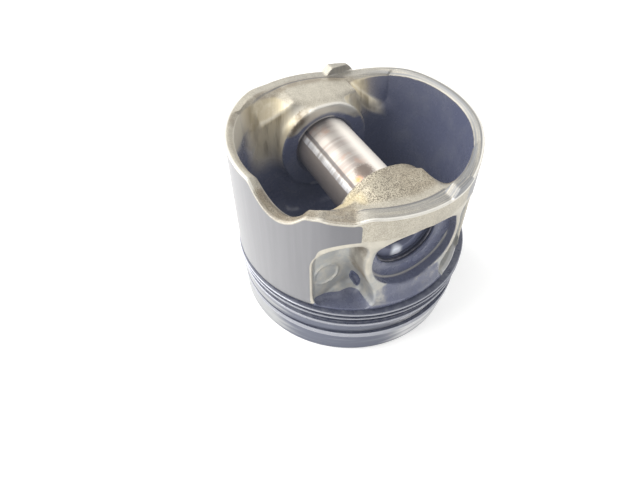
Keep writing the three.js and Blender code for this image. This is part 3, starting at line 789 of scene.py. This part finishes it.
def body_masks(piece, verts):
    """Where the surface is oily, coated, rough cast or stained, and where light, shade and edge highlights are painted.
    """
    x, y, z = verts.T
    ax, rho = np.abs(x), np.hypot(x, y)
    rim = rim_height(x, y)
    normals = np.empty(len(verts) * 3, np.float32)
    piece.data.vertices.foreach_get("normal", normals)
    up = normals.reshape(-1, 3)[:, 2]

    inside = smooth_step(0.9, 0.4, hollow_form(x, y, z, rho, rim)) * (z > HOLLOW_FLOOR_Z - 2)
    azimuth = np.degrees(np.arctan2(y, x))
    top_edge = smooth_step(1.5, 1.0, rim - z)
    bare_depth = 1.2 + 1.6 * np.exp(-(((azimuth + 68) / 20) ** 2)) + 6.5 * np.exp(-(((azimuth + 124) / 20) ** 2))
    bare_wall = smooth_step(1.6, 0.8, (rim - z) / bare_depth)
    crest_end = np.where(x < 0, 16.0, 11.0)
    boss_top = smooth_step(54, 58, z) * smooth_step(0.1, 0.5, up) * (ax > 17.5)
    boss_top = boss_top * smooth_step(crest_end, crest_end - 1.5, y)
    boss_top = boss_top * np.where(x < 0, 0.55 + 0.45 * smooth_step(-17, -11, y), 1)
    left_flank = smooth_step(38, 54, z) * smooth_step(18.4, 19.4, ax)
    left_flank = left_flank * smooth_step(30, 22, -y) * smooth_step(2, -3, y)
    right_flank = smooth_step(47, 60, z) * smooth_step(27, 16, y) * smooth_step(10, 14, y) * (ax > 18) * (x < 0)
    crown_arc = smooth_step(12, 15, np.hypot(y, z - PIN_Z)) * smooth_step(52, 58, z) * (ax > 15) * (np.abs(y) < 16)
    flank = np.maximum(left_flank * np.where(x < 0, 1.0, 0.8), right_flank * 0.8)
    ridge_z = rim_plane(y) - 12 * (1 - np.exp(-np.maximum(y - 14.6, 0) / 7))
    ridge = smooth_step(3.6, 1.4, np.abs(z - ridge_z)) * smooth_step(8, 10, y) * smooth_step(28, 20, y)
    ridge = ridge * (x < 0) * (ax > 19)
    dry = np.maximum.reduce([top_edge, bare_wall, boss_top, flank * 0.95, crown_arc, ridge])

    in_pocket = ax > POCKET_X - 1
    pocket = np.where(in_pocket, pocket_form(ax, y, z), 9)
    tongue = 25.0 + 1.2 * np.exp(-(((np.abs(y) - 19) / 4) ** 2))
    deep_pocket = smooth_step(0.9, 0.4, pocket) * smooth_step(0.6, -0.6, z - tongue)
    deep_pocket = deep_pocket * smooth_step(29.6, 31.4, ax + 0.35 * np.abs(np.abs(y) - 20))
    recess = np.where(ax > HOLLOW_HALF_X, np.hypot(y - RECESS_Y, z - RECESS_Z) - RECESS_R, 9)
    foot = smooth_step(-0.7, 0.7, 14.8 - 0.35 * (z - SKIRT_START_Z) - np.abs(y))
    foot = foot * (ax > 34) * smooth_step(35, 32, z) * (z > SKIRT_START_Z)
    foot_oil = foot * np.interp(y, (-12, -7, -3, 3), (0.4, 0.75, 0.85, 0.65))
    beyond = np.where(y > 14, 0.2, 1)
    sill = smooth_step(22.6, 23.2, z) * smooth_step(26.0, 25.4, z) * smooth_step(30, 28, np.abs(y)) * (ax > 25)
    # Painted shade: the pit beside the rib is darkened with the oil colour.
    pit = smooth_step(0.8, 0.3, capsule(ax, y, z, *PIT)) * (ax > POCKET_X)
    groove = ((z < SKIRT_START_Z - 0.3) & (rho < LAND_R - 0.3) & (rho > 30)) * 1.0
    add_mask(piece, "oil", np.maximum.reduce([inside * (1 - dry), deep_pocket * beyond, foot_oil, sill * beyond, pit, groove]))

    side = np.abs(np.degrees(np.arctan2(y, ax)))
    past_band = math.radians(1) * SKIRT_R * (side - BAND_END_DEG)
    upper = meet(-past_band, z - rim + 0.9, 1.6)
    lower = POCKET_TOP_Z + 1.3 - z - 7.0 * np.maximum(side - 31, 0)
    lower = np.maximum(lower, SKIRT_START_Z + 0.6 - z)
    strip = 1.1 + 1.2 * smooth_step(47, 52, z)
    add_mask(piece, "coat_gap", np.maximum(meet(upper, lower, 1.2), strip - pocket))
    add_mask(piece, "pocket_gap", pocket)
    add_mask(piece, "recess_gap", meet(recess, z - BAND_EDGE_Z, 4.0))
    add_mask(piece, "rim_gap", rim - z)
    grey = np.interp(azimuth, (-180, -140, -95, -50, -10, 25, 120, 150, 180), (0.4, 0.0, 0.0, 0.3, 0.6, 1, 1, 0.5, 0.4))
    grey = np.where(z > rim + 0.3, np.where(x > 0, 1.0, 0.35), grey * rim_flat(rho) * top_edge)
    add_mask(piece, "film", np.maximum(foot, grey))
    # Painted light on the far boss's ridge, wall and face and on the left inner wall.
    wall_lit = left_flank * smooth_step(-9, -14, y) * smooth_step(24.2, 23.4, ax) * 0.7
    face_lit = crown_arc * smooth_step(56, 58, z) * smooth_step(-9, -5, y) * smooth_step(18.6, 18.2, ax) * 0.8
    lit = np.maximum.reduce([ridge, wall_lit, face_lit * 0.8]) * (x < 0)
    left_wall_light = bare_wall * smooth_step(-80, -95, azimuth) * smooth_step(-137, -129, azimuth) * 0.75
    add_mask(piece, "painted_light", np.maximum(lit, left_wall_light) * inside * (1 - top_edge))
    add_mask(piece, "crest", boss_top * inside)
    # Distance to the edges that get a painted highlight: the far boss's inner edge and bore mouth, and the recess
    # floor's edge.
    arc = np.hypot(ax - BOSS_INNER_X, np.hypot(y, z - PIN_Z) - HUB_INNER_R + 0.3)
    arc = arc + 2 * smooth_step(-5, -9, y) + 2 * smooth_step(9, 14, y)
    mouth = 2.0 * np.hypot(np.hypot(y, z - PIN_Z) - BORE_R - 1.2, ax - BOSS_INNER_X)
    arc = np.where(x < 0, np.minimum(arc, mouth + 2 * smooth_step(53, 50, z) + 2 * smooth_step(2, 5, y)), 9)
    corner = 2.2 * np.hypot(ax - RECESS_FLOOR_X, recess) + 2 * smooth_step(PIN_Z - 6, PIN_Z - 2, z)
    add_mask(piece, "arc_gap", np.where(ax > 30, corner, arc))

    dip = smooth_step(64.4, 63.0, rim) * smooth_step(-12, -18, y)
    notch = smooth_step(0.2, 0.5, up) * top_edge * (0.35 + 0.65 * dip)
    near_top = inside * boss_top * (x > 0) * smooth_step(SEAM_R - 0.5, SEAM_R - 4.5, rho)
    near_end = inside * (x > 0) * smooth_step(5, 9, y) * smooth_step(22, 15, y) * smooth_step(54, 58, z) * (1 - top_edge)
    rib = (pocket < 1) * (ax > 28) * smooth_step(32, 38, z) * smooth_step(18, 15, np.abs(y)) * smooth_step(36.3, 34.8, ax)
    band = (rho > SKIRT_R - 0.5) * (z > BAND_EDGE_Z) * (side < BAND_END_DEG + 1) * 0.35
    add_mask(piece, "rough", np.maximum.reduce([near_top, notch, near_end * 0.8, band, rib * 0.7]))
    shelf = smooth_step(-11, -17, y) * smooth_step(0.1, 0.5, up) * (x < 0) * (ax > 17.5)
    golden = inside * np.maximum(flank, ridge) * (1 - boss_top * smooth_step(-14, -9, y) * (y < 9)) * (1 - top_edge)
    golden = golden * (1 - 0.55 * shelf)
    arc_side = smooth_step(3.0, 1.4, np.abs(np.hypot(y, z - PIN_Z) - HUB_INNER_R)) * inside
    arc_side = arc_side * smooth_step(-4, -9, y) * smooth_step(50, 54, z) * (x < 0) * (ax < 21)
    seam_side = smooth_step(31.5, 33.5, rho) * smooth_step(36.8, 35.0, rho) * (x < -10) * (z > 57) * (rim - z > -0.2)
    near_shade = near_top * smooth_step(-6, 3, y)
    # Real stains on the rib, seam and shelf and dark specks in the notch, with painted shade on the near boss's right
    # half and end and beside the far boss's arc.
    stains_and_shades = [rib, arc_side, seam_side * 0.6, near_end * 0.7, near_shade * 0.45, notch * dip * 0.75, shelf * inside * 0.5]
    add_mask(piece, "stain_and_shade", np.maximum.reduce(stains_and_shades))
    add_mask(piece, "gold", golden)
    add_mask(piece, "lands", smooth_step(SKIRT_START_Z + 0.3, SKIRT_START_Z - 0.2, z) * (rho > 38))


def rim_flat(rho):
    return smooth_step(SEAM_R - 0.3, SEAM_R + 0.3, rho) * smooth_step(SKIRT_R - 0.3, SKIRT_R - 0.8, rho)


def piston_body():
    verts, faces = contour(body_distance, BODY_ANGLES, BODY_RADII, BODY_HEIGHTS)
    piece = make_piece("piston_casting", verts, faces, body_material(), "piston",
                       ["piston_body"])
    body_masks(piece, verts)
    return piece


# ---------------------------------------------------------------- pin and clips

def pin_place(verts):
    """From turned about Z at the origin to turned about the pin axis."""
    return np.stack([verts[:, 2], verts[:, 0], verts[:, 1] + PIN_Z], axis=1)


def gudgeon_pin():
    end, flare = PIN_HALF, 1.4
    half = [(PIN_HOLE_R, end - flare), (PIN_HOLE_R + flare * 0.8, end), (PIN_R - 0.5, end), (PIN_R, end - 0.9)]
    outline = half + [(r, -z) for r, z in half[::-1]]
    section = rounded_outline(outline, 0.35)
    verts, faces = sweep_section(section, np.arange(160) / 160 * 2 * math.pi, True)
    verts = pin_place(verts)
    make_piece("wrist_pin", verts, outward(verts, faces), pin_material(), "gudgeon_pin",
               ["gudgeon_pin"])


def circlip(name, node, side, material):
    """Round wire snap ring, open at the top."""
    low, high = box_mm(node)
    wire = (high[0] - low[0]) / 2
    middle = (high[1] - low[1]) / 2 - wire
    half = math.radians(28)
    turn = np.linspace(math.pi / 2 + half, 2.5 * math.pi - half, 90)
    path = np.stack([np.full(90, side * CLIP_X), middle * np.cos(turn), PIN_Z + middle * np.sin(turn)], axis=1)
    verts, faces = tube(path, wire, 12)
    make_piece(name, verts, outward(verts, faces), material, "piston", [node])


# ---------------------------------------------------------------- piston rings

def joint_centre(name):
    joint = next(j for j in frame["joints"] if j["name"] == name)
    return np.array([joint["pos_m"][0] / MM, joint["pos_m"][1] / MM, 0.0])


def ring_angles(gap, gap_deg, radius, count=360):
    half = gap / 2 / radius
    start = math.radians(gap_deg)
    return np.linspace(start + half, start + 2 * math.pi - half, count)


def ring_piece(name, node, joint, body, section, angles, material, slots=None):
    """Sweeps a ring round its joint's centre and marks its running edge."""
    verts, faces = sweep_section(section, angles, False)
    if slots:
        faces = open_slots(faces[0], len(section), *slots) + faces[1:]
    radius = np.hypot(verts[:, 0], verts[:, 1])
    verts = verts + joint_centre(joint)
    piece = make_piece(name, verts, outward(verts, faces), material, body, [node])
    add_mask(piece, "tip", smooth_step(radius.max() - 0.35, radius.max() - 0.05, radius))


def compression_ring(name, node, joint, body, outline, gap, gap_deg, material):
    section = rounded_outline(outline, 0.14, 3)
    angles = ring_angles(gap, gap_deg, section[:, 0].max())
    ring_piece(name, node, joint, body, section, angles, material)


def top_ring(material):
    low, high = box_mm("top_compression_ring")
    outer, inner = 40.3, 37.1
    middle = (low[2] + high[2]) / 2
    outline = [(inner, low[2] + 0.1), (outer - 0.1, low[2]), (outer, middle), (outer - 0.1, high[2]), (inner, high[2] - 0.1)]
    compression_ring("top_ring_barrel", "top_compression_ring", "top_ring_turn", "top_ring", outline, 2.2, 88, material)


def second_ring(material):
    low, high = box_mm("second_compression_ring")
    outer, inner = 40.6, 37.3
    outline = [(inner, low[2]), (outer - 0.22, low[2]), (outer, high[2] - 0.75), (outer - 0.7, high[2] - 0.6),
               (outer - 0.7, high[2]), (inner, high[2])]
    compression_ring("second_ring_napier", "second_compression_ring", "second_ring_turn", "second_ring",
                     outline, 4.2, 205, material)


OIL_GAP_DEG = 146
OIL_GAP = 7.2
OIL_SLOTS = 20
SLOT_PITCH = 18
SLOT_START, SLOT_END = 6, 12
COIL_MID_R = 38.2


def open_slots(sweep, count, lip, seat):
    """Cuts slots through a swept ring, from the channel's two edge points (lip) to the seat's (seat)."""
    rows = np.arange(len(sweep) // count)
    phase = rows % SLOT_PITCH
    slotted = (phase >= SLOT_START) & (phase < SLOT_END)
    keep = np.ones((len(rows), count), bool)
    keep[slotted, lip[0]] = False
    keep[slotted, seat[0]] = False
    faces = [sweep.reshape(-1, count, 4)[keep]]
    at = rows[slotted] * count
    for a, b in ((lip[0], seat[1]), (seat[0], lip[1])):
        faces.append(np.stack([at + a, at + count + a, at + count + b, at + b], axis=1))
    start = rows[phase == SLOT_START] * count
    faces.append(np.stack([start + n for n in (lip[0], seat[1], seat[0], lip[1])], axis=1))
    end = rows[phase == SLOT_END] * count
    faces.append(np.stack([end + n for n in (lip[0], lip[1], seat[0], seat[1])], axis=1))
    return faces


def oil_ring(material):
    """Two scraping lands, a slotted channel between them and a round seat for the coil behind."""
    low, high = box_mm("oil_control_ring")
    outer, inner = 41.1, 38.5
    bottom, top = low[2], high[2]
    middle = (bottom + top) / 2
    slot_edge = math.degrees(math.asin(0.33))
    seat_angles = np.radians((70, 45, slot_edge, -slot_edge, -45, -70))
    seat = [(COIL_MID_R + math.cos(a), middle + math.sin(a)) for a in seat_angles]
    profile = [(inner, bottom), (outer - 0.8, bottom), (outer, bottom + 0.4), (outer, bottom + 0.75),
               (outer - 0.85, middle - 0.5), (outer - 0.9, middle - 0.33), (outer - 0.9, middle + 0.33),
               (outer - 0.85, middle + 0.5), (outer, top - 0.75), (outer, top - 0.4), (outer - 0.8, top),
               (inner, top)] + seat
    section = np.array(profile)
    angles = ring_angles(OIL_GAP, OIL_GAP_DEG, outer, OIL_SLOTS * SLOT_PITCH + 1)
    ring_piece("oil_ring_slotted", "oil_control_ring", "oil_ring_turn", "oil_ring", section, angles, material,
               slots=((5, 6), (14, 15)))


def coil_spring(material):
    """Closely wound coil that presses the oil ring outwards."""
    low, high = box_mm("oil_ring_coil_spring")
    wire, coil = 0.2, (high[2] - low[2]) / 2 - 0.2
    turns, per_turn = 216, 14
    half = math.radians(1.5)
    start = math.radians(OIL_GAP_DEG + 180)
    t = np.linspace(0, 1, turns * per_turn + 1)
    along = start + half + (2 * math.pi - 2 * half) * t
    wind = 2 * math.pi * turns * t
    r = COIL_MID_R + coil * np.cos(wind)
    path = np.stack([r * np.cos(along), r * np.sin(along), (low[2] + high[2]) / 2 + coil * np.sin(wind)], axis=1)
    verts, faces = tube(path + joint_centre("oil_ring_turn"), wire, 6)
    make_piece("coil_expander", verts, outward(verts, faces), material, "oil_ring",
               ["oil_ring_coil_spring"])


def joint_wire(material):
    low, high = box_mm("oil_ring_joint_wire")
    middle = math.radians(OIL_GAP_DEG + 180)
    turn = np.linspace(middle - math.radians(20), middle + math.radians(20), 40)
    height = np.full(40, (low[2] + high[2]) / 2)
    path = np.stack([COIL_MID_R * np.cos(turn), COIL_MID_R * np.sin(turn), height], axis=1)
    verts, faces = tube(path + joint_centre("oil_ring_turn"), 0.28, 8)
    make_piece("expander_joint_wire", verts, outward(verts, faces), material, "oil_ring",
               ["oil_ring_joint_wire"])


# ---------------------------------------------------------------- floor, light and camera

def floor():
    p = Paint("floor_white")
    material = p.finish(Base_Color=(0.9, 0.9, 0.895), Roughness=0.8, Emission_Color=(1, 1, 0.99), Emission_Strength=0.2)
    bm = bmesh.new()
    bmesh.ops.create_grid(bm, x_segments=2, y_segments=2, size=3)
    mesh = bpy.data.meshes.new("floor")
    bm.to_mesh(mesh)
    bm.free()
    mesh.materials.append(material)
    plane = bpy.data.objects.new("floor", mesh)
    bpy.context.scene.collection.objects.link(plane)


def area_light(name, place, target, size, power, colour=(1, 1, 1)):
    data = bpy.data.lights.new(name, "AREA")
    data.shape = "DISK"
    data.size = size
    data.energy = power
    data.color = colour
    light = bpy.data.objects.new(name, data)
    light.location = place
    light.rotation_mode = "QUATERNION"
    light.rotation_quaternion = (Vector(target) - Vector(place)).to_track_quat("-Z", "Y")
    bpy.context.scene.collection.objects.link(light)


def studio():
    """A bright dome with a dimmer side behind the camera, and a broad window to the left."""
    world = bpy.data.worlds.new("studio")
    world.use_nodes = True
    tree = world.node_tree
    nodes, links = tree.nodes, tree.links
    place = nodes.new("ShaderNodeTexCoord")
    facing = nodes.new("ShaderNodeVectorMath")
    facing.operation = "DOT_PRODUCT"
    facing.inputs[1].default_value = Vector((0.86, -0.5, -0.1)).normalized()
    fade = nodes.new("ShaderNodeMapRange")
    fade.interpolation_type = "SMOOTHSTEP"
    for key, number in (("From Min", 0.5), ("From Max", 0.97), ("To Min", DOME_STRENGTH), ("To Max", DIM_STRENGTH)):
        fade.inputs[key].default_value = number
    links.new(place.outputs["Generated"], facing.inputs[0])
    links.new(facing.outputs["Value"], fade.inputs["Value"])
    links.new(fade.outputs["Result"], nodes["Background"].inputs["Strength"])
    nodes["Background"].inputs["Color"].default_value = (1, 1, 1, 1)
    bpy.context.scene.world = world
    look = bpy.context.scene.view_settings
    look.view_transform = "Standard"
    look.use_curve_mapping = True
    look.curve_mapping.black_level = VEIL
    area_light("window", (-0.7, -1.0, 0.8), (0, 0, 0.04), 2.2, 44, (1.0, 0.985, 0.96))


VEIL = (-0.018, -0.02, -0.027)
DOME_STRENGTH = 1.12
DIM_STRENGTH = 0.3
CAMERA_PLACE = (113.77, -72.48, 161.25)
CAMERA_TARGET = (-5.65, -8.86, 12.68)
LENS = 29.2


def camera():
    data = bpy.data.cameras.new("camera")
    data.lens = LENS
    data.clip_start = 0.005
    view = bpy.data.objects.new("camera", data)
    view.location = Vector(CAMERA_PLACE) * MM
    view.rotation_mode = "QUATERNION"
    view.rotation_quaternion = (Vector(CAMERA_TARGET) - Vector(CAMERA_PLACE)).to_track_quat("-Z", "Y")
    bpy.context.scene.collection.objects.link(view)
    bpy.context.scene.camera = view


# ---------------------------------------------------------------- build

iron = ring_material()
spring = spring_material()
piston_body()
gudgeon_pin()
circlip("front_snap_ring", "front_circlip", 1, spring)
circlip("rear_snap_ring", "rear_circlip", -1, spring)
top_ring(iron)
second_ring(iron)
oil_ring(iron)
coil_spring(spring)
joint_wire(spring)
floor()
studio()
camera()
